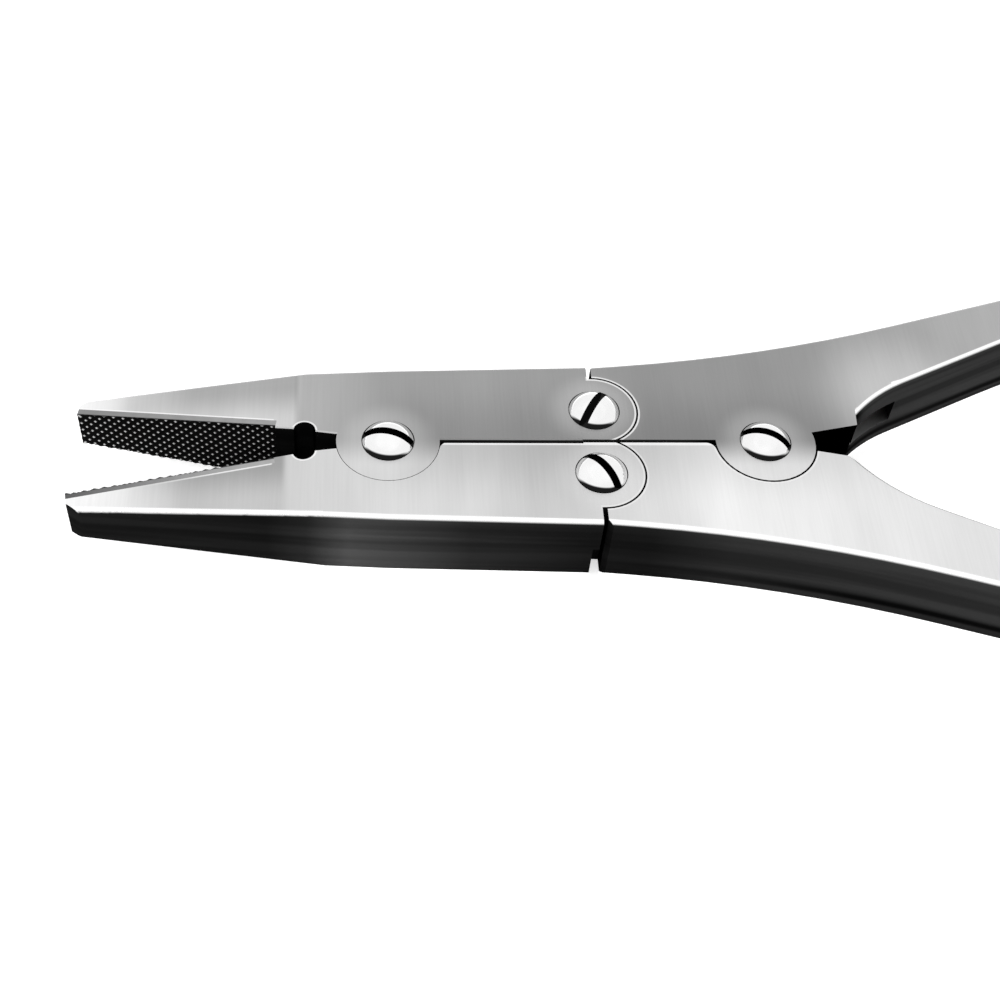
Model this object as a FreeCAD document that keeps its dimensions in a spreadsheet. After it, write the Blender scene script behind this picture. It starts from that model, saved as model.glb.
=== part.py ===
"""Surgical wire cutter: a double-action flat-nose plier with side notch, lying flat and open.

X runs along the tool with the jaws at -X, Y runs across it and Z is up through its thickness.
The origin is on the resting face, under the axis of the jaw pivot. Lengths are in millimetres.
"""
import FreeCAD, Part
import math
import os
import Sketcher

doc = FreeCAD.newDocument("wire_cutter")
sheet = doc.addObject("Spreadsheet::Sheet", "Sizes")
V = FreeCAD.Vector


class Size:
    """A length or angle that knows its number and the sheet expression that gives it."""

    def __init__(self, value, text=None):
        self.value = float(value)
        self.text = text or repr(float(value))

    def __add__(self, other):
        other = as_size(other)
        return Size(self.value + other.value, "(%s + %s)" % (self.text, other.text))

    def __sub__(self, other):
        other = as_size(other)
        return Size(self.value - other.value, "(%s - %s)" % (self.text, other.text))

    def __mul__(self, other):
        other = as_size(other)
        return Size(self.value * other.value, "(%s * %s)" % (self.text, other.text))

    def __truediv__(self, other):
        other = as_size(other)
        return Size(self.value / other.value, "(%s / %s)" % (self.text, other.text))

    def __radd__(self, other):
        return as_size(other) + self

    def __rsub__(self, other):
        return as_size(other) - self

    def __rmul__(self, other):
        return as_size(other) * self

    def __neg__(self):
        return Size(-self.value, "(0 - %s)" % self.text)


def as_size(number):
    return number if isinstance(number, Size) else Size(number)


def sine(angle):
    angle = as_size(angle)
    return Size(math.sin(math.radians(angle.value)), "sin(%s * 1deg)" % angle.text)


def cosine(angle):
    angle = as_size(angle)
    return Size(math.cos(math.radians(angle.value)), "cos(%s * 1deg)" % angle.text)


def root(number):
    return Size(math.sqrt(number.value), "sqrt(%s)" % number.text)


sheet_row = 0


def size(name, number):
    """One row of the sheet: the name in column A, the number with its alias in column B."""
    global sheet_row
    sheet_row += 1
    sheet.set("A%d" % sheet_row, name)
    sheet.set("B%d" % sheet_row, str(number))
    sheet.setAlias("B%d" % sheet_row, name)
    return Size(number, "Sizes." + name)


# Plate thickness and the running gaps between the pieces
thick = size("thick", 8.6)
lap_gap = size("lap_gap", 0.1)
arm_gap = size("arm_gap", 0.4)
recess_gap = size("recess_gap", 0.2)
jaw_recess_gap = size("jaw_recess_gap", 0.06)
edge_round = size("edge_round", 0.7)
edge_break = size("edge_break", 0.12)

# The four pivots of the double action, seen with the jaws open
pivot_span = size("pivot_span", 38.7)
link_place = size("link_place", 21.3)
link_side = size("link_side", 4.2)
jaw_open = size("jaw_open", 8.9)
disc_radius = size("disc_radius", 5.2)
ear_radius = size("ear_radius", 4.4)
slit_place = size("slit_place", 20.95)
front_slit = size("front_slit", 0.5)
back_slit = size("back_slit", 1.15)
slit_bevel = size("slit_bevel", 0.5)
slit_lean = size("slit_lean", 5.8)
ear_root = size("ear_root", 1.5)
nose_round = size("nose_round", 1.0)

# Jaws, measured along a jaw from the jaw pivot
jaw_length = size("jaw_length", 32.0)
upper_taper_start = size("upper_taper_start", 9.8)
lower_taper_start = size("lower_taper_start", 7.7)
tip_thick = size("tip_thick", 4.4)
tip_width = size("tip_width", 2.4)
tip_bevel = size("tip_bevel", 0.9)
upper_shoulder = size("upper_shoulder", 8.05)
lower_shoulder = size("lower_shoulder", 8.5)
face_gap = size("face_gap", 0.3)
land_gap = size("land_gap", 0.2)
pivot_width = size("pivot_width", 9.95)
slit_width = size("slit_width", 10.65)
notch_place = size("notch_place", 8.5)
notch_radius = size("notch_radius", 1.12)
insert_end = size("insert_end", 11.5)
upper_insert_thick = size("upper_insert_thick", 0.85)
lower_insert_thick = size("lower_insert_thick", 0.75)

# Cross-cut teeth of the inserts. A groove is wider than the pitch, so that the teeth are sharp
tooth_pitch = size("tooth_pitch", 0.7)
tooth_width = size("tooth_width", 0.74)
tooth_depth = size("tooth_depth", 0.2)

# Handles: the straight wedge behind the pivot, the crotch, the neck and the bowed grip
wedge_angle = size("wedge_angle", 12.9)
upper_wedge_end = size("upper_wedge_end", 48.8)
lower_wedge_end = size("lower_wedge_end", 47.2)
crotch_x = size("crotch_x", 48.9)
crotch_y = size("crotch_y", 3.5)
slot_depth = size("slot_depth", 2.2)
slot_height = size("slot_height", 2.9)
slot_reach = size("slot_reach", 6.0)
crotch_bow = size("crotch_bow", 19.2)
crotch_lean = size("crotch_lean", 50.0)
neck_lean = size("neck_lean", 26.0)
shoulder_x = size("shoulder_x", 55.5)
shoulder_y = size("shoulder_y", 17.27)
neck_length = size("neck_length", 25.7)
grip_width = size("grip_width", 5.2)
grip_lean = size("grip_lean", 17.4)
grip_bow = size("grip_bow", 200.0)
grip_length = size("grip_length", 63.0)
grip_bevel = size("grip_bevel", 1.4)
grip_flat = size("grip_flat", 1.2)

# Pivot screws
shank_radius = size("shank_radius", 1.9)
shank_gap = size("shank_gap", 0.05)
head_radius = size("head_radius", 2.6)
head_rise = size("head_rise", 1.5)
head_sink = size("head_sink", 0.4)
head_gap = size("head_gap", 0.08)
drive_width = size("drive_width", 0.85)
drive_depth = size("drive_depth", 1.55)

# Leaf springs, their seats on the grips and their small screws
leaf_thick = size("leaf_thick", 0.8)
leaf_height = size("leaf_height", 5.0)
leaf_root = size("leaf_root", 9.0)
leaf_bend = size("leaf_bend", 6.0)
leaf_dive_angle = size("leaf_dive_angle", 45.0)
leaf_run_angle = size("leaf_run_angle", 8.0)
leaf_tip_gap = size("leaf_tip_gap", 0.3)
leaf_seat = size("leaf_seat", 0.2)
leaf_room = size("leaf_room", 0.3)
leaf_bend_room = size("leaf_bend_room", 2.6)
leaf_screw_shank = size("leaf_screw_shank", 1.0)
leaf_screw_head = size("leaf_screw_head", 1.9)
leaf_screw_rise = size("leaf_screw_rise", 0.9)
leaf_screw_bevel = size("leaf_screw_bevel", 0.25)
leaf_drive_angle = size("leaf_drive_angle", 30)
leaf_screw_lift = size("leaf_screw_lift", 0.02)
leaf_screw_depth = size("leaf_screw_depth", 3.2)
leaf_drive_width = size("leaf_drive_width", 0.5)
leaf_drive_depth = size("leaf_drive_depth", 0.45)
doc.recompute()

half_lap = lap_gap / 2
half_arm = arm_gap / 2
front_floor = thick / 2 + half_lap
back_roof = thick / 2 - half_lap
beyond = Size(3.0)
near = 0.01

# The crotch's arc ends where the neck's straight inner side begins, and the outer side of the
# neck leads from the shoulder to the grip
neck_x = crotch_x + crotch_bow * (sine(crotch_lean) - sine(neck_lean))
neck_y = crotch_y + crotch_bow * (cosine(neck_lean) - cosine(crotch_lean))
lean_along, lean_across = cosine(grip_lean), sine(grip_lean)
grip_start = shoulder_x + neck_length * lean_along
grip_side = shoulder_y + neck_length * lean_across
grip_end = grip_start + grip_length

# Middle of a leaf's root on the inner side of the grip
leaf_x = grip_start + (grip_width - leaf_seat) * lean_across
leaf_y = grip_side - (grip_width - leaf_seat) * lean_along
leaf_floor = (thick - leaf_height) / 2


def plane(body, role):
    for feature in body.Origin.OriginFeatures:
        if feature.Role == role:
            return feature


def bind(thing, path, amount):
    """Ties a property to the sheet, unless the amount is a plain number."""
    if "Sizes." in amount.text:
        thing.setExpression(path, amount.text)


def place_sketch(sketch, role, x, y, z, turn):
    """Moves a sketch to a point and turns it about the vertical through that point."""
    x, y, z, turn = as_size(x), as_size(y), as_size(z), as_size(turn)
    base = {"XY_Plane": (x, y, z), "YZ_Plane": (y, z, x), "XZ_Plane": (x, z, -y)}[role]
    axis = V(0, 0, 1) if role == "XY_Plane" else V(0, 1, 0)
    offset = V(*[part.value for part in base])
    sketch.AttachmentOffset = FreeCAD.Placement(offset, FreeCAD.Rotation(axis, turn.value))
    for path, part in zip(("x", "y", "z"), base):
        bind(sketch, ".AttachmentOffset.Base." + path, part)
    if turn.value:
        bind(sketch, ".AttachmentOffset.Rotation.Angle", turn)


def arc_between(start, end, radius):
    """The short arc of the given radius; a positive radius turns left, a negative one right."""
    chord = end - start
    half = chord.Length / 2
    rise = math.sqrt(max(radius * radius - half * half, 0.0))
    side = 1 if radius > 0 else -1
    normal = V(-chord.y, chord.x, 0).normalize()
    centre = (start + end) / 2 + normal * rise * side
    first, last = (start, end) if radius > 0 else (end, start)
    angles = [math.atan2(p.y - centre.y, p.x - centre.x) for p in (first, last)]
    circle = Part.Circle(centre, V(0, 0, 1), abs(radius))
    return Part.ArcOfCircle(circle, angles[0], angles[1])


def tie(sketch, kind, amount, *where):
    """Adds one dimension to a sketch and ties it to the sheet."""
    index = sketch.addConstraint(Sketcher.Constraint(kind, *where, amount.value))
    bind(sketch, "Constraints[%d]" % index, amount)


def outline(body, name, points, role="XY_Plane", at=(0, 0, 0), turn=0, side=1):
    """A closed sketch through the points (x, y) or (x, y, radius of the arc that arrives there).

    With side -1 the sketch is mirrored across its own x axis, or its y axis on a cross section.
    """
    sketch = body.newObject("Sketcher::SketchObject", name)
    sketch.AttachmentSupport = [(plane(body, role), "")]
    sketch.MapMode = "FlatFace"
    place_sketch(sketch, role, at[0], at[1], at[2], turn)
    corners = []
    for point in points:
        x, y = as_size(point[0]), as_size(point[1])
        bow = as_size(point[2]) if len(point) > 2 else None
        if side < 0 and role == "YZ_Plane":
            x = -x
        elif side < 0:
            y = -y
        corners.append((x, y, bow))
    ends = []
    for index, (x, y, bow) in enumerate(corners):
        before = corners[index - 1]
        start = V(before[0].value, before[1].value, 0)
        end = V(x.value, y.value, 0)
        if bow is None:
            geometry = sketch.addGeometry(Part.LineSegment(start, end))
            ends.append((geometry, 1, 2))
            continue
        geometry = sketch.addGeometry(arc_between(start, end, bow.value * side))
        ends.append((geometry, 1, 2) if bow.value * side > 0 else (geometry, 2, 1))
    for index, (geometry, first, last) in enumerate(ends):
        following = ends[(index + 1) % len(ends)]
        sketch.addConstraint(Sketcher.Constraint("Coincident", geometry, last, following[0], following[1]))
        tie(sketch, "DistanceX", corners[index][0], -1, 1, geometry, last)
        tie(sketch, "DistanceY", corners[index][1], -1, 1, geometry, last)
        if corners[index][2] is not None:
            bow = corners[index][2]
            tie(sketch, "Radius", bow if bow.value > 0 else -bow, geometry)
    return sketch


def round_outline(body, name, x, y, radius, at=(0, 0, 0), turn=0, role="XY_Plane"):
    """A circle sketched on a level plane, or on an upright one."""
    sketch = body.newObject("Sketcher::SketchObject", name)
    sketch.AttachmentSupport = [(plane(body, role), "")]
    sketch.MapMode = "FlatFace"
    place_sketch(sketch, role, at[0], at[1], at[2], turn)
    x, y, radius = as_size(x), as_size(y), as_size(radius)
    circle = sketch.addGeometry(Part.Circle(V(x.value, y.value, 0), V(0, 0, 1), radius.value))
    tie(sketch, "DistanceX", x, -1, 1, circle, 3)
    tie(sketch, "DistanceY", y, -1, 1, circle, 3)
    tie(sketch, "Radius", radius, circle)
    return sketch


def new_body(label):
    body = doc.addObject("PartDesign::Body", label)
    body.Label = label
    return body


def pad(body, sketch, height):
    feature = body.newObject("PartDesign::Pad", sketch.Name + "_pad")
    feature.Profile = sketch
    feature.Length = height.value
    bind(feature, "Length", height)
    sketch.Visibility = False
    return feature


def cut(body, sketch, depth, upward=True):
    """A pocket that rises from its sketch, or sinks when upward is False."""
    feature = body.newObject("PartDesign::Pocket", sketch.Name + "_cut")
    feature.Profile = sketch
    feature.Length = depth.value
    bind(feature, "Length", depth)
    feature.Reversed = upward
    sketch.Visibility = False
    cuts.append(feature)
    return feature


def loft(body, name, sketches, ruled):
    feature = body.newObject("PartDesign::AdditiveLoft", name)
    feature.Profile = sketches[0]
    feature.Sections = sketches[1:]
    feature.Ruled = ruled
    return feature


def soften(body, name, wanted, radius):
    """Rounds the edges of the body's last feature that pass the test."""
    doc.recompute()
    base = body.Tip
    names = []
    for number, edge in enumerate(base.Shape.Edges, 1):
        middle = edge.valueAt((edge.FirstParameter + edge.LastParameter) / 2)
        if wanted(edge, middle):
            names.append("Edge%d" % number)
    feature = body.newObject("PartDesign::Fillet", name)
    feature.Base = (base, names)
    feature.Radius = radius.value
    bind(feature, "Radius", radius)
    return feature


cuts = []


def bar_section(body, name, inner, outer, low, high, at, turn, side):
    """A cross section of a jaw, with rounded outer corners and bevelled inner ones."""
    return outline(body, name, [
        (inner, low + edge_break),
        (inner, high - edge_break),
        (inner + edge_break, high),
        (outer - edge_round, high),
        (outer, high - edge_round, -edge_round),
        (outer, low + edge_round),
        (outer - edge_round, low, -edge_round),
        (inner + edge_break, low),
    ], "YZ_Plane", at, turn, side)


def jaw(label, side, disc_in_front, taper_start, shoulder, insert_thick):
    """One jaw with its arm. The loft runs tip, shoulder, pivot and slit; the joints are cut in."""
    body = new_body(label)
    turn = jaw_open * -side
    along, across = cosine(jaw_open), sine(jaw_open) * side

    def on_jaw(distance):
        return (-distance * along, distance * across, 0)

    tip_low = (thick - tip_thick) / 2
    tip_high = (thick + tip_thick) / 2
    inner = land_gap / 2
    zero = Size(0)
    sections = [
        bar_section(body, label + "_tip", inner, tip_width, tip_low, tip_high,
                    on_jaw(jaw_length), turn, side),
        bar_section(body, label + "_shoulder", inner, shoulder, zero, thick,
                    on_jaw(taper_start), turn, side),
        bar_section(body, label + "_pivot", half_arm, pivot_width, zero, thick,
                    (0, 0, 0), 0, side),
        bar_section(body, label + "_slit", half_arm, slit_width, zero, thick,
                    (slit_place, 0, 0), 0, side),
    ]
    loft(body, label + "_form", sections, True)

    # The tip's outer corner is bevelled
    bevel = outline(body, label + "_tip_bevel", [
        (-jaw_length - beyond, tip_width - tip_bevel),
        (-jaw_length, tip_width - tip_bevel),
        (beyond - jaw_length, tip_width - tip_bevel + beyond),
        (-jaw_length - beyond, tip_width - tip_bevel + beyond),
    ], turn=turn, side=side)
    cut(body, bevel, thick)

    # Seat for the tooth insert, and the round notch of the side cutter
    seat_top = face_gap / 2 + insert_thick
    seat = outline(body, label + "_seat", [
        (-jaw_length - beyond, -beyond),
        (-insert_end, -beyond),
        (-insert_end, seat_top),
        (-jaw_length - beyond, seat_top),
    ], turn=turn, side=side)
    cut(body, seat, thick)
    notch = round_outline(body, label + "_notch", -notch_place, 0, notch_radius, turn=turn)
    cut(body, notch, thick)

    # Lap joint at the jaw pivot: one layer carries the disc, the other one clears its mate
    floor = front_floor if disc_in_front else zero
    cleared = zero if disc_in_front else back_roof
    layer = front_floor
    ring = round_outline(body, label + "_recess", 0, 0, disc_radius + jaw_recess_gap,
                         (0, 0, cleared))
    cut(body, ring, layer)
    disc = round_outline(body, label + "_disc", 0, 0, disc_radius, (0, 0, floor))
    pad(body, disc, back_roof)

    # Lap joint at the link: the ear is in front, the back layer clears the handle's ear
    back = outline(body, label + "_link_back", [
        (slit_place - back_slit + front_slit, -beyond),
        (slit_place + beyond, -beyond),
        (slit_place + beyond, slit_width + beyond),
        (slit_place - back_slit + front_slit, slit_width + beyond),
    ], side=side)
    cut(body, back, layer)
    hollow = round_outline(body, label + "_link_recess", link_place, link_side * side,
                           ear_radius + recess_gap)
    cut(body, hollow, layer)
    pad(body, ear_outline(body, label, side, front_floor, 1), back_roof)

    # Holes for the two screws, with a shallow seat for each head
    drill(body, label + "_jaw_hole", 0, 0, disc_in_front)
    drill(body, label + "_link_hole", link_place, link_side * side, True)
    tidy_nose(body, label, 0, side, disc_in_front, disc_radius + jaw_recess_gap)
    return body


def tidy_nose(body, label, x, side, disc_in_front, reach):
    """Rounds the two thin corners between the middle gap and the recess about a pivot."""
    if disc_in_front:
        return
    corner = root(reach * reach - half_arm * half_arm).value

    def thin_corner(edge, middle):
        upright = edge.BoundBox.XLength < near and edge.BoundBox.YLength < near
        beside = abs(abs(middle.x - as_size(x).value) - corner) < near
        return upright and beside and abs(middle.y - half_arm.value * side) < near

    soften(body, label + "_nose", thin_corner, nose_round)


def ear_outline(body, label, side, level, reach):
    """The rounded end about the link screw, flat along the middle gap. Reach 1 points to +X."""
    drop = link_side - half_arm
    flat = root(ear_radius * ear_radius - drop * drop)
    back = link_place - reach * ear_root
    return outline(body, label + "_ear", [
        (back, half_arm),
        (link_place + flat * reach, half_arm),
        (link_place + ear_radius * reach, link_side, ear_radius * reach),
        (link_place, link_side + ear_radius, ear_radius * reach),
        (back, link_side + ear_radius),
    ], at=(0, 0, level), side=side)


def drill(body, name, x, y, with_head):
    hole = round_outline(body, name, x, y, shank_radius + shank_gap)
    cut(body, hole, thick)
    if with_head:
        seat = round_outline(body, name + "_seat", x, y, head_radius + head_gap,
                             (0, 0, thick - head_sink))
        cut(body, seat, head_sink)


def leave_line(start, lean, end, end_lean):
    """Where an arc leaves a leaning line to reach the end at its own lean, and its radius."""
    turn = end_lean - lean
    offset = (end[1] - start[1]) * cosine(lean) - (end[0] - start[0]) * sine(lean)
    reach = offset / sine(turn)
    x = end[0] - reach * (cosine(lean) + cosine(end_lean))
    y = end[1] - reach * (sine(lean) + sine(end_lean))
    return x, y, reach * cosine(turn / 2) / sine(turn / 2)


def handle_outline(body, label, side, wedge_end):
    """The outline of a whole handle, whose edges run smoothly from the crotch to the slit."""
    start = slit_place + front_slit
    wedge_top = (wedge_end - pivot_span) * sine(wedge_angle) / cosine(wedge_angle)
    grip_x = grip_start + grip_width * lean_across
    grip_y = grip_side - grip_width * lean_along
    blend_x, blend_y, blend_bow = leave_line(
        (neck_x, neck_y), neck_lean, (grip_x, grip_y), grip_lean)
    slit_x, slit_y, slit_bow = leave_line(
        (start + slit_bevel, slit_width), slit_lean, (shoulder_x, shoulder_y), grip_lean)

    # The grip bows about one centre, then runs straight to its bevelled end
    centre_x = grip_start + grip_bow * lean_across
    centre_y = grip_side - grip_bow * lean_along
    end_across = (centre_x - grip_end) / grip_bow
    end_along = root(1 - end_across * end_across)
    inner_bow = grip_bow - grip_width

    def past_end(radius, further):
        x = centre_x - radius * end_across + further * end_along
        y = centre_y + radius * end_along + further * end_across
        return (x, y)

    return outline(body, label + "_outline", [
        (start, half_arm),
        (pivot_span, half_arm),
        (wedge_end, wedge_top),
        (crotch_x, crotch_y),
        (neck_x, neck_y, -crotch_bow),
        (blend_x, blend_y),
        (grip_x, grip_y, blend_bow),
        past_end(inner_bow, 0) + (-inner_bow,),
        past_end(inner_bow, grip_flat),
        past_end(inner_bow + grip_bevel, grip_flat + grip_bevel),
        past_end(grip_bow - grip_bevel, grip_flat + grip_bevel),
        past_end(grip_bow, grip_flat),
        past_end(grip_bow, 0),
        (grip_start, grip_side, grip_bow),
        (shoulder_x, shoulder_y),
        (slit_x, slit_y, -slit_bow),
        (start + slit_bevel, slit_width),
        (start, slit_width - slit_bevel),
    ], side=side)


def handle(label, side, disc_in_front, wedge_end):
    """One handle: a thick plate with rounded edges, with the joints and the leaf seat cut in."""
    body = new_body(label)
    zero = Size(0)
    pad(body, handle_outline(body, label, side, wedge_end), thick)

    def outer_edge(edge, middle):
        on_face = abs(middle.z) < near or abs(middle.z - thick.value) < near
        outside = abs(middle.y) > slit_width.value - near
        return on_face and (outside or middle.x > crotch_x.value)

    soften(body, label + "_edge", outer_edge, edge_round)

    # A slot in the middle of the thickness runs into the crotch
    slope = (neck_y - crotch_y) / (neck_x - crotch_x)
    slot_end = crotch_x + slot_reach
    slot_top = crotch_y + slope * slot_reach
    slot = outline(body, label + "_slot", [
        (crotch_x - half_arm, crotch_y - beyond),
        (slot_end, slot_top - beyond),
        (slot_end, slot_top + slot_depth),
        (crotch_x + slot_depth / 2, crotch_y + slot_depth * slope * 2),
        (crotch_x - half_arm, crotch_y - half_arm),
    ], at=(0, 0, (thick - slot_height) / 2), side=side)
    cut(body, slot, slot_height)

    # Lap joint at the handle pivot
    cleared = zero if disc_in_front else back_roof
    ring = round_outline(body, label + "_recess", pivot_span, 0, disc_radius + recess_gap,
                         (0, 0, cleared))
    cut(body, ring, front_floor)
    disc_floor = front_floor if disc_in_front else zero
    disc = round_outline(body, label + "_disc", pivot_span, 0, disc_radius, (0, 0, disc_floor))
    pad(body, disc, back_roof)

    # Lap joint at the link: the ear is in the back layer, the front one clears the jaw's ear
    hollow = round_outline(body, label + "_link_recess", link_place, link_side * side,
                           ear_radius + recess_gap, (0, 0, back_roof))
    cut(body, hollow, front_floor)
    pad(body, ear_outline(body, label, side, zero, -1), back_roof)
    drill(body, label + "_handle_hole", pivot_span, 0, disc_in_front)
    drill(body, label + "_link_hole", link_place, link_side * side, False)

    # Flat seat and blind hole for the leaf spring on the inner side of the grip
    half_seat = leaf_root / 2 + leaf_room
    seat = outline(body, label + "_leaf_seat", [
        (-half_seat, -beyond),
        (half_seat + leaf_bend_room, -beyond),
        (half_seat + leaf_bend_room, 0),
        (-half_seat, 0),
    ], at=(leaf_x, leaf_y * side, leaf_floor - leaf_room), turn=grip_lean * side, side=side)
    cut(body, seat, leaf_height + leaf_room * 2)
    hole = round_outline(body, label + "_leaf_hole", 0, thick / 2, leaf_screw_shank + shank_gap,
                         (leaf_x, leaf_y * side, 0), grip_lean * side, "XZ_Plane")
    cut(body, hole, leaf_screw_depth + leaf_room, side < 0)
    tidy_nose(body, label, pivot_span, side, disc_in_front, disc_radius + recess_gap)
    return body


def screw_form(label, low, seat, rim, shank, head, top, slot, deep, angle):
    """A slotted screw about its own upright axis: shank, head with the given top, and slot."""
    body = new_body(label)
    profile = outline(body, label + "_profile", [
        (0, low),
        (shank, low),
        (shank, seat),
        (head, seat),
        (head, rim),
    ] + top, "XZ_Plane")
    crown = as_size(top[-1][1])
    turned = body.newObject("PartDesign::Revolution", label + "_turned")
    turned.Profile = profile
    turned.ReferenceAxis = (profile, ["V_Axis"])
    turned.Angle = 360
    drive = outline(body, label + "_drive", [
        (-head - beyond, -slot / 2),
        (head + beyond, -slot / 2),
        (head + beyond, slot / 2),
        (-head - beyond, slot / 2),
    ], at=(0, 0, crown - deep), turn=angle)
    cut(body, drive, deep + beyond)
    return body


def move_to(body, x, y, z=0):
    """Puts a body at a place that follows the sheet."""
    spot = [as_size(part) for part in (x, y, z)]
    body.Placement.Base = V(*[part.value for part in spot])
    for path, part in zip(("x", "y", "z"), spot):
        bind(body, "Placement.Base." + path, part)


def pivot_screw(label, x, y, angle):
    """A pivot screw: its thread end is flush with the resting face, its dome stands in front."""
    seat = thick - head_sink + half_lap
    dome = (head_radius * head_radius + head_rise * head_rise) / (head_rise * 2)
    body = screw_form(label, Size(0), seat, thick, shank_radius, head_radius,
                      [(0, thick + head_rise, dome)], drive_width, drive_depth, angle)
    move_to(body, x, y)
    return body


def leaf_screw(label, side):
    """The small flat-headed screw of a leaf spring. Its head faces the other handle."""
    seat = leaf_thick + leaf_screw_lift
    crown = seat + leaf_screw_rise
    flat_top = leaf_screw_head - leaf_screw_bevel
    body = screw_form(label, -leaf_screw_depth, seat, crown - leaf_screw_bevel, leaf_screw_shank,
                      leaf_screw_head, [(flat_top, crown), (0, crown)], leaf_drive_width,
                      leaf_drive_depth, leaf_drive_angle.value)
    facing = V(lean_across.value, -lean_along.value * side, 0)
    body.Placement.Rotation = FreeCAD.Rotation(V(0, 0, 1), facing)
    move_to(body, leaf_x, leaf_y * side, thick / 2)
    return body


def leaf_spring(label, side):
    """A flat strip: its root lies on the grip, then it bends and bows down to the middle line."""
    body = new_body(label)
    half_root = leaf_root / 2

    def step(along, down):
        return (lean_along * along + lean_across * down, lean_across * along - lean_along * down)

    start, start_low = step(-half_root, Size(0)), step(-half_root, leaf_thick)
    stop, stop_low = step(half_root, Size(0)), step(half_root, leaf_thick)
    hub = step(half_root, leaf_thick + leaf_bend)
    dive_x, dive_y = sine(leaf_dive_angle), cosine(leaf_dive_angle)
    run_x, run_y = sine(leaf_run_angle), cosine(leaf_run_angle)
    outer_bend = leaf_bend + leaf_thick
    turned = (hub[0] + outer_bend * dive_x, hub[1] + outer_bend * dive_y)
    turned_low = (hub[0] + leaf_bend * dive_x, hub[1] + leaf_bend * dive_y)
    fall = leaf_y + turned[1] - leaf_thick * run_y - leaf_tip_gap / 2
    bow = fall / (run_y - dive_y)
    pivot = (turned[0] + bow * dive_x, turned[1] + bow * dive_y)
    tip = (pivot[0] - bow * run_x, pivot[1] - bow * run_y)
    tip_low = (pivot[0] - (bow + leaf_thick) * run_x, pivot[1] - (bow + leaf_thick) * run_y)
    strip = outline(body, label + "_strip", [
        start,
        start_low,
        stop_low,
        turned_low + (-leaf_bend,),
        tip_low + (bow + leaf_thick,),
        tip,
        turned + (-bow,),
        stop + (outer_bend,),
    ], side=side)
    pad(body, strip, leaf_height)
    hole = round_outline(body, label + "_hole", 0, leaf_height / 2, leaf_screw_shank + shank_gap,
                         turn=grip_lean * side, role="XZ_Plane")
    through = cut(body, hole, leaf_root / 2)
    through.Midplane = True
    move_to(body, leaf_x, leaf_y * side, leaf_floor)
    return body


def insert(label, side, taper_start, insert_thick):
    """A hard plate with cross-cut teeth. It is modelled tooth face down and then stood up."""
    body = new_body(label)
    half_tip = tip_thick / 2
    half_root = half_tip + (thick - tip_thick) / 2 * (jaw_length - insert_end) / (jaw_length - taper_start)
    plate = outline(body, label + "_plate", [
        (-jaw_length, -half_tip),
        (-insert_end, -half_root),
        (-insert_end, half_root),
        (-jaw_length, half_tip),
    ])
    pad(body, plate, insert_thick)
    rows = int((jaw_length - insert_end + half_root * 2).value / math.sqrt(2) / tooth_pitch.value) + 2
    for name, lean in (("rising", 45), ("falling", -45)):
        first = (-jaw_length - half_tip) * math.sqrt(0.5)
        groove = outline(body, "%s_%s" % (label, name), [
            (first, 0 - tooth_depth),
            (first + tooth_width * 2, 0 - tooth_depth),
            (first + tooth_width, tooth_depth),
        ], "XZ_Plane")
        groove.AttachmentOffset = FreeCAD.Placement(V(), FreeCAD.Rotation(V(0, 1, 0), lean))
        tooth = cut(body, groove, Size(2) * jaw_length)
        tooth.Midplane = True
        many = body.newObject("PartDesign::LinearPattern", "%s_%s_rows" % (label, name))
        many.Originals = [tooth]
        many.Direction = (groove, ["H_Axis"])
        many.Length = tooth_pitch.value * (rows - 1)
        bind(many, "Length", tooth_pitch * (rows - 1))
        many.Occurrences = rows
        body.Tip = many
    stand = FreeCAD.Rotation(V(1, 0, 0), 90)
    swing = FreeCAD.Rotation(V(0, 0, 1), jaw_open.value * -side)
    lift = swing.multVec(V(0, face_gap.value / 2 * side, 0))
    if side > 0:
        stand = FreeCAD.Rotation(V(1, 0, 0), -90)
    body.Placement = FreeCAD.Placement(lift + V(0, 0, thick.value / 2), swing.multiply(stand))
    return body


bodies = [
    jaw("upper_jaw", 1, True, upper_taper_start, upper_shoulder, upper_insert_thick),
    jaw("lower_jaw", -1, False, lower_taper_start, lower_shoulder, lower_insert_thick),
    handle("upper_handle", 1, True, upper_wedge_end),
    handle("lower_handle", -1, False, lower_wedge_end),
    pivot_screw("jaw_screw", 0, 0, -12),
    pivot_screw("upper_link_screw", link_place, link_side, 57),
    pivot_screw("lower_link_screw", link_place, -link_side, -54),
    pivot_screw("handle_screw", pivot_span, 0, -22),
    insert("upper_insert", 1, upper_taper_start, upper_insert_thick),
    insert("lower_insert", -1, lower_taper_start, lower_insert_thick),
    leaf_spring("upper_leaf_spring", 1),
    leaf_spring("lower_leaf_spring", -1),
    leaf_screw("upper_spring_screw", 1),
    leaf_screw("lower_spring_screw", -1),
]
doc.recompute()

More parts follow.
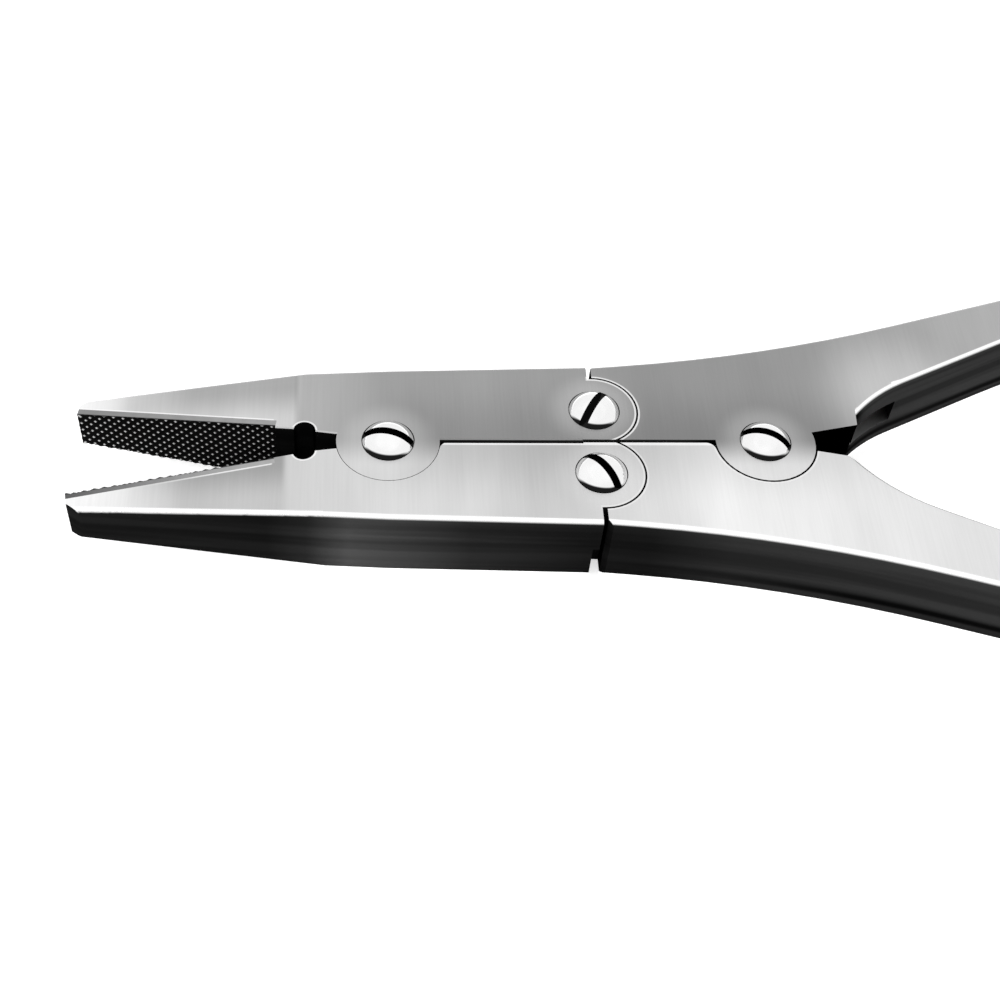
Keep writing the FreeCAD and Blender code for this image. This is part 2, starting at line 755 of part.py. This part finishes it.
# Nothing is written unless every feature worked and every body is one sound solid
for item in doc.Objects:
    for word in ("Invalid", "Error"):
        if word in item.State:
            raise RuntimeError("%s is in state %s" % (item.Name, item.State))
for feature in cuts:
    base = feature.BaseFeature
    if base is not None and feature.Shape.Volume > base.Shape.Volume - 1e-4:
        raise RuntimeError("%s cuts nothing" % feature.Name)
os.makedirs("parts", exist_ok=True)
for body in bodies:
    shape = body.Shape
    if shape.isNull() or not shape.isValid() or len(shape.Solids) != 1:
        raise RuntimeError("%s is not one valid solid" % body.Label)
    shape.exportStep("parts/%s.step" % body.Label)
    box = shape.BoundBox
    print("%-20s %9.2f mm3  x %7.2f %7.2f  y %7.2f %7.2f  z %6.2f %6.2f" % (
        body.Label, shape.Volume, box.XMin, box.XMax, box.YMin, box.YMax, box.ZMin, box.ZMax))
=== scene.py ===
"""The looks of a surgical wire cutter: satin steel, polished screws and cut inserts."""

import math

import bmesh
import bpy
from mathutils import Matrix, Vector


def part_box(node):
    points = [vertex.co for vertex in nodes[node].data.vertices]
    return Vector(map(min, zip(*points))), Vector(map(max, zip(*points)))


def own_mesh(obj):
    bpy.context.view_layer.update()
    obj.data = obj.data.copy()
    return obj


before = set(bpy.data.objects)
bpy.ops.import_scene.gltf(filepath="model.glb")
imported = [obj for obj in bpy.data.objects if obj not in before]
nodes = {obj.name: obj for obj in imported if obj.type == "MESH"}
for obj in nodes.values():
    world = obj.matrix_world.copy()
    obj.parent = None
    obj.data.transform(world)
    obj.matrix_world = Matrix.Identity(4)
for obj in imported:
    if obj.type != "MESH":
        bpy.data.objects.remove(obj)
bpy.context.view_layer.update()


# Upper jaw and handle
# The jaw's arm and its handle hinge at the upper link. Both are forged stainless steel, ground
# flat and brushed across. The long edges carry a painted highlight, the flanks a painted dark
# reflection, and the faces painted light and shade along the tool.
MM = 0.001

# The two sides, by the sign of Y
UPPER = 1
LOWER = -1


def middle_of(node):
    """The x and y of the middle of a node."""
    low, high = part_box(node)
    middle = (low + high) / 2
    return middle.x, middle.y


# Where the parts meet: the pivots, the slits beside the links, the notch behind the jaws, and
# how far each jaw leans out from the middle line
JAW_PIVOT = middle_of("jaw_screw")
UPPER_LINK = middle_of("upper_link_screw")
LOWER_LINK = middle_of("lower_link_screw")
HANDLE_PIVOT = middle_of("handle_screw")
SLIT_PLACE = 20.95 * MM
NOTCH_PLACE = 8.5 * MM
JAW_OPEN = math.radians(8.9)


def span(first, last):
    """Two places that are given in millimetres."""
    return first * MM, last * MM


def grey(level):
    return (level, level, level)


def new_material(name, plain_levels):
    """A material with its tree and its surface. The levels are set on the surface's sockets."""
    material = bpy.data.materials.new(name)
    material.use_nodes = True
    surface = material.node_tree.nodes["Principled BSDF"]
    for label, level in plain_levels.items():
        surface.inputs[label].default_value = level
    return material, material.node_tree, surface


def add_node(tree, kind, **settings):
    node = tree.nodes.new(kind)
    for name, value in settings.items():
        setattr(node, name, value)
    return node


def feed(tree, value, target):
    """Puts a number or a colour on a socket, or links another socket to it."""
    if isinstance(value, (int, float)):
        target.default_value = value
    elif isinstance(value, tuple):
        target.default_value = value + (1.0,)
    else:
        tree.links.new(value, target)


def math_node(tree, operation, *values):
    """One math step on sockets or numbers."""
    node = add_node(tree, "ShaderNodeMath", operation=operation)
    for value, target in zip(values, node.inputs):
        feed(tree, value, target)
    return node.outputs[0]


def combine(tree, operation, values):
    whole = values[0]
    for value in values[1:]:
        whole = math_node(tree, operation, whole, value)
    return whole


def product(tree, *values):
    return combine(tree, "MULTIPLY", values)


def total(tree, *values):
    return combine(tree, "ADD", values)


def largest(tree, *values):
    return combine(tree, "MAXIMUM", values)


def rising(tree, value, low, high):
    """0 below low, 1 above high, smooth between them."""
    node = add_node(tree, "ShaderNodeMapRange", interpolation_type="SMOOTHSTEP")
    feed(tree, value, node.inputs["Value"])
    feed(tree, low, node.inputs["From Min"])
    feed(tree, high, node.inputs["From Max"])
    return node.outputs["Result"]


def falling(tree, value, low, high):
    """1 below low, 0 above high, smooth between them."""
    return math_node(tree, "SUBTRACT", 1.0, rising(tree, value, low, high))


def within(tree, value, start, end):
    """1 from start to end, each of which is a pair that the mask fades over."""
    return product(tree, rising(tree, value, *start), falling(tree, value, *end))


def vector_node(tree, operation, first, second):
    """One vector step on a socket and three numbers."""
    node = add_node(tree, "ShaderNodeVectorMath", operation=operation)
    tree.links.new(first, node.inputs[0])
    node.inputs[1].default_value = second
    return node.outputs["Value" if operation in ("DOT_PRODUCT", "DISTANCE") else "Vector"]


def axis_of(tree, vector, axis):
    split = add_node(tree, "ShaderNodeSeparateXYZ")
    feed(tree, vector, split.inputs[0])
    return split.outputs[axis]


def coordinates(tree):
    """The place on the tool, and the way that the surface faces."""
    node = add_node(tree, "ShaderNodeTexCoord")
    return node.outputs["Object"], node.outputs["Normal"]


def flatness(tree, normal):
    """1 where the surface lies level with the tool, and 0 on its walls."""
    return math_node(tree, "ABSOLUTE", axis_of(tree, normal, "Z"))


# The sockets of a Mix node that is set to colours
MIX_MASK, MIX_FIRST, MIX_SECOND, MIX_RESULT = 0, 6, 7, 2


def blend_colours(tree, mask, first, second, blend="MIX"):
    node = add_node(tree, "ShaderNodeMix", data_type="RGBA", blend_type=blend)
    feed(tree, mask, node.inputs[MIX_MASK])
    feed(tree, first, node.inputs[MIX_FIRST])
    feed(tree, second, node.inputs[MIX_SECOND])
    return node.outputs[MIX_RESULT]


def darken(tree, mask, colour, level):
    """The colour times a level where the mask is full."""
    return blend_colours(tree, mask, colour, grey(level), "MULTIPLY")


def lighten(tree, mask, colour, strength):
    """The colour with a share of white where the mask is full."""
    return blend_colours(tree, product(tree, mask, strength), colour, grey(1.0))


def noise(tree, position, grain, detail=3.0):
    """Noise on a position in metres. The grain is its size along X, Y and Z."""
    mapping = add_node(tree, "ShaderNodeMapping")
    mapping.inputs["Scale"].default_value = [1 / step for step in grain]
    feed(tree, position, mapping.inputs["Vector"])
    node = add_node(tree, "ShaderNodeTexNoise")
    node.inputs["Scale"].default_value = 1.0
    node.inputs["Detail"].default_value = detail
    feed(tree, mapping.outputs["Vector"], node.inputs["Vector"])
    return node.outputs["Fac"]


def varied(tree, value, amount):
    """Noise, which lies about a half, turned into a factor about 1."""
    off = product(tree, math_node(tree, "SUBTRACT", value, 0.5), amount)
    return total(tree, off, 1.0)


# Grains of the ground steel, and the streaks in the flank's painted dark reflection. A metre
# means no change along that axis.
BRUSHING = (0.25 * MM, 9 * MM, 1.0)
BRUSHING_CONTRAST = 0.12
CLOUDS = (6 * MM, 30 * MM, 1.0)
CLOUD_CONTRAST = 0.25
MOTTLE = (4 * MM, 4 * MM, 4 * MM)
FLANK_STREAKS = (60 * MM, 60 * MM, 2 * MM)
STREAK_SPREAD = (0.4, 0.62)
STREAK_SHADE = 0.55

# Painted shade in a low band along the flanks of the handles
LOW_BAND_BOTTOM = span(1.1, 1.6)
LOW_BAND_TOP = span(1.9, 2.6)
LOW_BAND_START = span(20, 50)
LOW_BAND_SHADE = 0.15

# How the tilt of the surface tells the face from its rounding, and the ends from the flanks
FACE_TILT = (0.955, 0.992)
ROUNDING_FADE = 0.15
FRONTWARD = (0, -1, 0)
FRONT_TURN = (-0.05, 0.2)
END_TURN = (0.6, 0.85)
END_SHADE = 0.2

EDGE_ROUGHNESS = 0.2
FACE_ROUGHER = 0.12
MOTTLE_ROUGHER = 0.08


def ground_steel_group():
    """Brushed face, rounding with a painted highlight, and flank with a painted dark reflection,
    told apart by how the surface tilts.

    Turn is the tilt at which the flank starts. The metallic share is 1 on the face and the
    rounding, and 0 on the matt flank.
    """
    tree = bpy.data.node_groups.new("ground_steel", "ShaderNodeTree")
    for in_out, kind, names in (
        ("INPUT", "NodeSocketColor", ("Face", "Edge", "Flank")),
        ("INPUT", "NodeSocketFloat", ("Turn",)),
        ("OUTPUT", "NodeSocketColor", ("Color",)),
        ("OUTPUT", "NodeSocketFloat", ("Metalness", "Roughness", "Grain")),
    ):
        for name in names:
            tree.interface.new_socket(name=name, in_out=in_out, socket_type=kind)
    come = add_node(tree, "NodeGroupInput").outputs
    leave = add_node(tree, "NodeGroupOutput").inputs
    here, normal = coordinates(tree)
    level = flatness(tree, normal)

    brushing = noise(tree, here, BRUSHING, detail=4.0)
    clouds = noise(tree, here, CLOUDS, detail=2.0)
    shade = product(
        tree, varied(tree, brushing, BRUSHING_CONTRAST), varied(tree, clouds, CLOUD_CONTRAST))
    tone = add_node(tree, "ShaderNodeCombineColor")
    for channel in tone.inputs:
        feed(tree, shade, channel)
    face = blend_colours(tree, 1.0, come["Face"], tone.outputs[0], "MULTIPLY")

    # The rounding gets a painted highlight where it faces the front, and is like the face behind
    # elsewhere
    front = rising(tree, vector_node(tree, "DOT_PRODUCT", normal, FRONTWARD), *FRONT_TURN)
    edge = blend_colours(tree, front, face, come["Edge"])

    # Darker streaks, in bands by height, run along the flank's painted dark reflection. Painted
    # shade darkens a low band, the ends and the slits' walls
    streaks = rising(tree, noise(tree, here, FLANK_STREAKS, detail=2.0), *STREAK_SPREAD)
    flank = darken(tree, streaks, come["Flank"], STREAK_SHADE)
    low_band = product(
        tree,
        within(tree, axis_of(tree, here, "Z"), LOW_BAND_BOTTOM, LOW_BAND_TOP),
        rising(tree, axis_of(tree, here, "X"), *LOW_BAND_START),
    )
    flank = darken(tree, low_band, flank, LOW_BAND_SHADE)
    endwise = math_node(tree, "ABSOLUTE", axis_of(tree, normal, "X"))
    flank = darken(tree, rising(tree, endwise, *END_TURN), flank, END_SHADE)

    # The face and rounding are metal, and the flank is matt under its painted dark reflection
    past_turn = math_node(tree, "SUBTRACT", level, come["Turn"])
    metalness = rising(tree, past_turn, -ROUNDING_FADE, ROUNDING_FADE)
    feed(tree, metalness, leave["Metalness"])
    facing = rising(tree, level, *FACE_TILT)
    colour = blend_colours(tree, metalness, flank, edge)
    feed(tree, blend_colours(tree, facing, colour, face), leave["Color"])

    mottle = noise(tree, here, MOTTLE)
    rough = total(
        tree,
        product(tree, facing, FACE_ROUGHER),
        product(tree, mottle, MOTTLE_ROUGHER),
        EDGE_ROUGHNESS,
    )
    feed(tree, rough, leave["Roughness"])
    feed(tree, product(tree, brushing, facing), leave["Grain"])
    return tree


ground_steel = ground_steel_group()


def along_tool(tree, position, stops):
    """A grey that changes along X: pairs of a place in millimetres and a level."""
    first, last = span(stops[0][0], stops[-1][0])
    from_start = math_node(tree, "SUBTRACT", axis_of(tree, position, "X"), first)
    ramp = add_node(tree, "ShaderNodeValToRGB")
    feed(tree, math_node(tree, "DIVIDE", from_start, last - first), ramp.inputs["Fac"])
    bar = ramp.color_ramp.elements
    bar.remove(bar[1])
    for index, (place, level) in enumerate(stops):
        spot = (place * MM - first) / (last - first)
        element = bar.new(spot) if index else bar[0]
        element.color = grey(level) + (1.0,)
    return ramp.outputs["Color"]


# Painted light and shade on the faces along the tool. The discs of the upper side carry the
# lower side's.
UPPER_FACE = [
    (-32, 1.0), (-28.5, 0.82), (-26, 0.64), (-9.6, 0.64), (-9.0, 0.45), (0, 0.36),
    (20, 0.34), (28, 0.30), (45, 0.32), (60, 0.42), (90, 0.51),
]
LOWER_FACE = [
    (-32, 1.0), (-26, 0.84), (-20, 0.55), (-10.5, 0.57), (-9.5, 0.66), (4, 0.70),
    (18, 0.59), (27, 0.75), (33, 0.88), (45, 0.82), (90, 0.66),
]
DISC_FADE = span(-3.5, 0.5)

# Painted shade darkens the half of each nose that lies farther back, and the middle of the tool
NOSE_START = span(-28, -18)
NOSE_END = {UPPER: span(-9.5, -8.9), LOWER: span(-10.7, -9.9)}
NOSE_BACK_HALF = {UPPER: span(2.5, 7.5), LOWER: span(-7.5, -2.5)}
NOSE_SHADE = 0.64
MIDDLE_START = span(-4, 4)
MIDDLE_END = span(40, 60)
MIDDLE_WIDTH = span(0, 9)
MIDDLE_SHADE = 0.78

# Painted highlights make the ground face paler round the screws, and at the crotch of the upper
# handle
SCREW_PLACES = (JAW_PIVOT, UPPER_LINK, LOWER_LINK, HANDLE_PIVOT)
HALO_REACH = span(2.6, 5.5)
HALO_STRENGTH = 0.16
CROTCH_PLACE = (54 * MM, 6.5 * MM)
CROTCH_REACH = span(2, 11)
CROTCH_STRENGTH = 0.28


def distance_from(tree, here, place):
    """How far a point is from a place, seen from the front."""
    flat = vector_node(tree, "MULTIPLY", here, (1, 1, 0))
    return vector_node(tree, "DISTANCE", flat, place + (0,))


def steel_face(tree, here, side, stops):
    """The painted light and shade of a face: along the tool, then on its discs, nose, middle and
    round its screws.
    """
    along, across = axis_of(tree, here, "X"), axis_of(tree, here, "Y")
    face = along_tool(tree, here, stops)
    if side == UPPER:
        disc = falling(tree, across, *DISC_FADE)
        face = blend_colours(tree, disc, face, along_tool(tree, here, LOWER_FACE))
    nose = product(
        tree,
        within(tree, along, NOSE_START, NOSE_END[side]),
        rising(tree, across, *NOSE_BACK_HALF[side]),
    )
    face = darken(tree, nose, face, NOSE_SHADE)
    middle = product(
        tree,
        within(tree, along, MIDDLE_START, MIDDLE_END),
        falling(tree, math_node(tree, "ABSOLUTE", across), *MIDDLE_WIDTH),
    )
    face = darken(tree, middle, face, MIDDLE_SHADE)
    # Painted highlights round the screws, and at the crotch on the upper side
    halos = [
        falling(tree, distance_from(tree, here, place), *HALO_REACH) for place in SCREW_PLACES
    ]
    face = lighten(tree, largest(tree, *halos), face, HALO_STRENGTH)
    if side == UPPER:
        glow = falling(tree, distance_from(tree, here, CROTCH_PLACE), *CROTCH_REACH)
        face = lighten(tree, glow, face, CROTCH_STRENGTH)
    return face


# Painted highlights as bright lines: the rims of the joints, the lower side of the middle
# gap, and the seat of each insert
LINE_STRENGTH = 0.7
LINE_FADE = 0.088 * MM
RIM_INSIDE = 0.44 * MM
RIM_OUTSIDE = 0.22 * MM
GAP_LINE_WIDTH = span(0.484, 0.616)
GAP_LINE_START = span(5.2, 5.6)
GAP_LINE_END = [HANDLE_PIVOT[0] - place for place in reversed(GAP_LINE_START)]
SEAT_LINE_TOP = {UPPER: 1.22 * MM, LOWER: 1.12 * MM}
SEAT_LINE_START = {UPPER: span(-34, -32), LOWER: span(-26, -16)}
SEAT_LINE_END = span(-11.6, -11.4)


def out_from_jaw(tree, here, side):
    """How far a point of a jaw lies out from the plane in which the inserts meet."""
    outward = (math.sin(JAW_OPEN), math.cos(JAW_OPEN) * side, 0)
    return vector_node(tree, "DOT_PRODUCT", here, outward)


def painted_highlight_lines(tree, here, side, rims):
    """Painted highlight lines. Each rim is a centre, a radius, the first x at which it shows,
    and a strength.
    """
    along = axis_of(tree, here, "X")
    lines = []
    for centre, radius, first_x, strength in rims:
        away = distance_from(tree, here, centre)
        inner, outer = radius - RIM_INSIDE, radius + RIM_OUTSIDE
        lines.append(product(
            tree,
            within(tree, away, (inner, inner + LINE_FADE), (outer - LINE_FADE, outer)),
            rising(tree, along, first_x - RIM_OUTSIDE, first_x),
            strength,
        ))
    if side == LOWER:
        beside_gap = math_node(tree, "ABSOLUTE", axis_of(tree, here, "Y"))
        lines.append(product(
            tree,
            falling(tree, beside_gap, *GAP_LINE_WIDTH),
            within(tree, along, GAP_LINE_START, GAP_LINE_END),
        ))
    top = SEAT_LINE_TOP[side]
    lines.append(product(
        tree,
        falling(tree, out_from_jaw(tree, here, side), top - LINE_FADE, top),
        within(tree, along, SEAT_LINE_START[side], SEAT_LINE_END),
    ))
    return largest(tree, *lines)


# Painted shade blackens the flank in the wedge between the handles, and the rounding beside the
# gap gets a dimmer painted highlight
WEDGE_START = span(30, 33)
WEDGE_END = span(49, 50.5)
WEDGE_WIDTH = span(4.5, 6)
GAP_EDGE = span(0.4, 0.6)
GAP_EDGE_GREY = 0.45

BRUSHED_SHEEN = 0.35
BRUSHING_BUMP = 0.06
BRUSHING_DEPTH = 0.02 * MM


def steel_material(name, side, turn, face_stops, flank_stops, rims):
    """The ground steel of one side, with the painted light and shade of its face and flank along
    the tool.
    """
    material, tree, surface = new_material(
        name, {"Specular IOR Level": 0.0, "Anisotropic": BRUSHED_SHEEN})
    here, _ = coordinates(tree)
    beside_gap = math_node(tree, "ABSOLUTE", axis_of(tree, here, "Y"))
    # Painted light and shade on the face, then painted highlight lines
    face = steel_face(tree, here, side, face_stops)
    face = lighten(tree, painted_highlight_lines(tree, here, side, rims), face, LINE_STRENGTH)
    # Painted shade in the wedge, and a dimmer painted highlight on the rounding beside the gap
    wedge = product(
        tree,
        within(tree, axis_of(tree, here, "X"), WEDGE_START, WEDGE_END),
        falling(tree, beside_gap, *WEDGE_WIDTH),
    )
    flank = darken(tree, wedge, along_tool(tree, here, flank_stops), 0.0)
    gap_edge = falling(tree, beside_gap, *GAP_EDGE)
    edge = blend_colours(tree, gap_edge, grey(1.0), grey(GAP_EDGE_GREY))

    group = add_node(tree, "ShaderNodeGroup", node_tree=ground_steel)
    for label, value in (("Face", face), ("Edge", edge), ("Flank", flank), ("Turn", turn)):
        feed(tree, value, group.inputs[label])
    feed(tree, group.outputs["Color"], surface.inputs["Base Color"])
    feed(tree, group.outputs["Metalness"], surface.inputs["Metallic"])
    feed(tree, group.outputs["Roughness"], surface.inputs["Roughness"])
    bump = add_node(tree, "ShaderNodeBump")
    feed(tree, BRUSHING_BUMP, bump.inputs["Strength"])
    feed(tree, BRUSHING_DEPTH, bump.inputs["Distance"])
    feed(tree, group.outputs["Grain"], bump.inputs["Height"])
    feed(tree, bump.outputs["Normal"], surface.inputs["Normal"])
    return material


def finish_nodes(names, material):
    for name in names:
        nodes[name].data.materials[0] = material


# A recess is wider than its disc or ear by the running gap, and the notch leans with its jaw.
# A rim's painted highlight shows from its first x on, and all round where that lies ahead of the
# tips.
LINK_RECESS = 4.6 * MM
NOTCH_RADIUS = 1.12 * MM
NOTCH_X = -NOTCH_PLACE * math.cos(JAW_OPEN)
NOTCH_Y = NOTCH_PLACE * math.sin(JAW_OPEN)
WHOLE_RIM = -50 * MM

# The flank starts at this tilt, past the rounding's painted highlight, and its greys along the
# tool are a painted dark reflection
UPPER_TURN = 0.68
UPPER_FLANK = [(-32, 0.01), (0, 0.01), (12, 0.03), (48, 0.065), (90, 0.065)]
UPPER_RIMS = [
    (UPPER_LINK, LINK_RECESS, SLIT_PLACE, 1.0),
    ((NOTCH_X, NOTCH_Y), NOTCH_RADIUS, WHOLE_RIM, 1.0),
]

finish_nodes(("upper_jaw", "upper_handle"), steel_material(
    "upper_steel_satin", UPPER, UPPER_TURN, UPPER_FACE, UPPER_FLANK, UPPER_RIMS))


# Lower jaw and handle
# The same two parts on the other side, of the same forged steel, with paler painted light on
# their faces. Their recesses about the two middle screws take the discs of the upper side.
HANDLE_RECESS = 5.4 * MM

# Here the flank starts on steeper surfaces, so the rounding's painted highlight reaches further.
# The flank's greys along the tool are a painted dark reflection
LOWER_TURN = 0.56
LOWER_FLANK = [
    (-32, 0.022), (-12, 0.018), (-8, 0.04), (-4, 0.13), (0, 0.10), (8, 0.04),
    (20, 0.018), (26, 0.018), (34, 0.045), (60, 0.058), (90, 0.03),
]
LOWER_RIMS = [
    (HANDLE_PIVOT, HANDLE_RECESS, WHOLE_RIM, 0.5),
    (LOWER_LINK, LINK_RECESS, SLIT_PLACE, 0.5),
    ((NOTCH_X, -NOTCH_Y), NOTCH_RADIUS, WHOLE_RIM, 1.0),
]

finish_nodes(("lower_jaw", "lower_handle"), steel_material(
    "lower_steel_satin", LOWER, LOWER_TURN, LOWER_FACE, LOWER_FLANK, LOWER_RIMS))


# Inserts
# Plates of hard metal, brazed into the jaws. Their teeth are cut crosswise, with painted shade
# black in the grooves and a painted highlight on the points. The side of each plate shows from
# the front as a narrow strip, with painted light and shade along the tool and painted shade
# along its edge by the teeth.
INSERT_ROUGHNESS = 0.3
INSERT_GRAIN = (MM, MM, MM)
GRAIN_SHADE = 0.75
TOOTH_GREY = 0.008
POINT_DEPTH = span(0.18, 0.245)
STRIP_DEPTH = span(0.32, 0.42)
STRIP_TILT = (0.9, 0.98)
STRIP_EDGE_GREY = 0.05
UPPER_STRIP = [(-32, 0.3), (-10, 0.42)]
LOWER_STRIP = [(-32, 0.13), (-24, 0.28), (-18, 0.4), (-10, 0.5)]


def insert_material(name, side, strip_stops):
    """The side tells which way the teeth face. The stops are the painted light and shade along
    the strip.
    """
    material, tree, surface = new_material(
        name, {"Specular IOR Level": 0.0, "Roughness": INSERT_ROUGHNESS})
    here, normal = coordinates(tree)
    depth = out_from_jaw(tree, here, side)
    # The strip: painted light and shade along the tool, and painted shade along its edge by the
    # teeth
    plate = darken(
        tree, noise(tree, here, INSERT_GRAIN), along_tool(tree, here, strip_stops), GRAIN_SHADE)
    plate = blend_colours(
        tree, rising(tree, depth, *STRIP_DEPTH), grey(STRIP_EDGE_GREY), plate)
    # Painted shade black in the grooves between the teeth, and a painted highlight on the points
    tooth = blend_colours(
        tree, falling(tree, depth, *POINT_DEPTH), grey(TOOTH_GREY), grey(1.0))
    strip = rising(tree, flatness(tree, normal), *STRIP_TILT)
    feed(tree, blend_colours(tree, strip, tooth, plate), surface.inputs["Base Color"])
    feed(tree, strip, surface.inputs["Metallic"])
    return material


finish_nodes(("upper_insert",), insert_material("upper_insert_cut", UPPER, UPPER_STRIP))
finish_nodes(("lower_insert",), insert_material("lower_insert_cut", LOWER, LOWER_STRIP))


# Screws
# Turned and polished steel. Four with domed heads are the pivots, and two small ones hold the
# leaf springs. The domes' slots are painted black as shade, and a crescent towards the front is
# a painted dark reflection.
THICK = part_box("upper_handle")[1].z
SCREW_SMEAR = (2 * MM, 2 * MM, 2 * MM)
SCREW_GREYS = (0.82, 1.0)
SCREW_ROUGHNESS = 0.06
SMEAR_ROUGHER = 0.12
CRESCENT_CENTRE = (0.03, 0.16, 0)
CRESCENT_EDGE = (0.905, 0.945)

# Painted shade makes the slots' walls black, and all that lies below the face: their floors and
# the shanks
SLOT_GREY = 0.012
SLOT_WALL_TILT = (0.1, 0.3)
BELOW_FACE = (THICK - 0.04 * MM, THICK - 0.01 * MM)


def screw_material(name, domed):
    material, tree, surface = new_material(name, {"Metallic": 1.0})
    here, normal = coordinates(tree)
    smear = noise(tree, here, SCREW_SMEAR)
    colour = blend_colours(tree, smear, *map(grey, SCREW_GREYS))
    if domed:
        slope = vector_node(tree, "MULTIPLY", normal, (1, 1, 0))
        from_centre = vector_node(tree, "DISTANCE", slope, CRESCENT_CENTRE)
        # A painted dark reflection in a crescent towards the front, and painted shade on the
        # slots' walls and all below the face
        dark = largest(
            tree,
            rising(tree, from_centre, *CRESCENT_EDGE),
            falling(tree, flatness(tree, normal), *SLOT_WALL_TILT),
            falling(tree, axis_of(tree, here, "Z"), *BELOW_FACE),
        )
        colour = blend_colours(tree, dark, colour, grey(SLOT_GREY))
    feed(tree, colour, surface.inputs["Base Color"])
    rough = total(tree, SCREW_ROUGHNESS, product(tree, smear, SMEAR_ROUGHER))
    feed(tree, rough, surface.inputs["Roughness"])
    return material


finish_nodes(
    ("jaw_screw", "upper_link_screw", "lower_link_screw", "handle_screw"),
    screw_material("pivot_screw_polish", domed=True),
)
finish_nodes(
    ("upper_spring_screw", "lower_spring_screw"),
    screw_material("spring_screw_polish", domed=False),
)


# Leaf springs
# Strips of tempered steel, rolled thin and bent, one screwed to the inner side of each grip.
# They push the grips apart.
SPRING_GRAIN = (8 * MM, 8 * MM, 0.3 * MM)
SPRING_DARK = (0.36, 0.36, 0.37)
SPRING_PALE = (0.56, 0.56, 0.56)
SPRING_ROUGHNESS = 0.22
GRAIN_ROUGHER = 0.15


def spring_material():
    material, tree, surface = new_material("spring_strip", {"Metallic": 1.0})
    here, _ = coordinates(tree)
    drawn = noise(tree, here, SPRING_GRAIN, detail=4.0)
    colour = blend_colours(tree, drawn, SPRING_DARK, SPRING_PALE)
    feed(tree, colour, surface.inputs["Base Color"])
    rough = total(tree, SPRING_ROUGHNESS, product(tree, drawn, GRAIN_ROUGHER))
    feed(tree, rough, surface.inputs["Roughness"])
    return material


finish_nodes(("upper_leaf_spring", "lower_leaf_spring"), spring_material())
for name, side in (("upper_leaf_spring", UPPER), ("lower_leaf_spring", LOWER)):
    strip = nodes[name]
    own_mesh(strip)


# Floor, light and camera
# The tool lies on a plain white table in a white room. The room lights it evenly, a little
# more from high up, and is dark only low down in front.
TABLE_HALF = 2.0
TABLE_WHITE = 0.9
TABLE_ROUGHNESS = 0.9
TABLE_GLOW = 0.6


def seen_directly(tree):
    """1 for what the camera sees, also in metal and through glass."""
    paths = add_node(tree, "ShaderNodeLightPath").outputs
    return largest(
        tree, paths["Is Camera Ray"], paths["Is Glossy Ray"], paths["Is Transmission Ray"])


table = bpy.data.meshes.new("table")
shape = bmesh.new()
bmesh.ops.create_grid(shape, x_segments=1, y_segments=1, size=TABLE_HALF)
shape.to_mesh(table)
shape.free()
floor = bpy.data.objects.new("table", table)
bpy.context.scene.collection.objects.link(floor)
white, tree, matt = new_material("white_table", {
    "Base Color": grey(TABLE_WHITE) + (1.0,),
    "Roughness": TABLE_ROUGHNESS,
    "Specular IOR Level": 0.0,
})
glow = add_node(tree, "ShaderNodeEmission")
feed(tree, product(tree, seen_directly(tree), TABLE_GLOW), glow.inputs["Strength"])
both = add_node(tree, "ShaderNodeAddShader")
feed(tree, matt.outputs[0], both.inputs[0])
feed(tree, glow.outputs[0], both.inputs[1])
feed(tree, both.outputs[0], tree.nodes["Material Output"].inputs["Surface"])
table.materials.append(white)

# The world's brightness by direction: Z is up, and the front of the room is towards -Y
ROOM_LEVEL = 0.85
HIGH_PART = (0.4, 0.8)
HIGH_EXTRA = 0.2
LOW_PART = (0.22, 0.5)
FRONT_PART = (-0.75, -0.35)
FRONT_LOSS = 0.93

world = bpy.data.worlds.new("studio")
bpy.context.scene.world = world
world.use_nodes = True
room = world.node_tree
direction = add_node(room, "ShaderNodeTexCoord").outputs["Generated"]
height, depth = axis_of(room, direction, "Z"), axis_of(room, direction, "Y")
lit = total(room, ROOM_LEVEL, product(room, rising(room, height, *HIGH_PART), HIGH_EXTRA))
dark = product(room, falling(room, height, *LOW_PART), falling(room, depth, *FRONT_PART))
kept = math_node(room, "SUBTRACT", 1.0, product(room, dark, FRONT_LOSS))
background = room.nodes["Background"].inputs
feed(room, largest(room, product(room, lit, kept), seen_directly(room)), background["Strength"])
feed(room, grey(1.0), background["Color"])

# The camera stands in front of the tool and above it. Its turns are in degrees.
CAMERA_LENS = 56.41
CAMERA_SENSOR = 36.0
CAMERA_NEAREST = 0.01
CAMERA_PLACE = (-0.00247, -0.10371, 0.12799)
CAMERA_TURNS = (38.914, -3.852, -3.159)

camera = bpy.data.cameras.new("camera")
camera.lens = CAMERA_LENS
camera.sensor_width = CAMERA_SENSOR
camera.clip_start = CAMERA_NEAREST
viewer = bpy.data.objects.new("camera", camera)
viewer.location = CAMERA_PLACE
viewer.rotation_euler = [math.radians(turn) for turn in CAMERA_TURNS]
bpy.context.scene.collection.objects.link(viewer)
bpy.context.scene.camera = viewer
bpy.context.scene.view_settings.view_transform = "Standard"
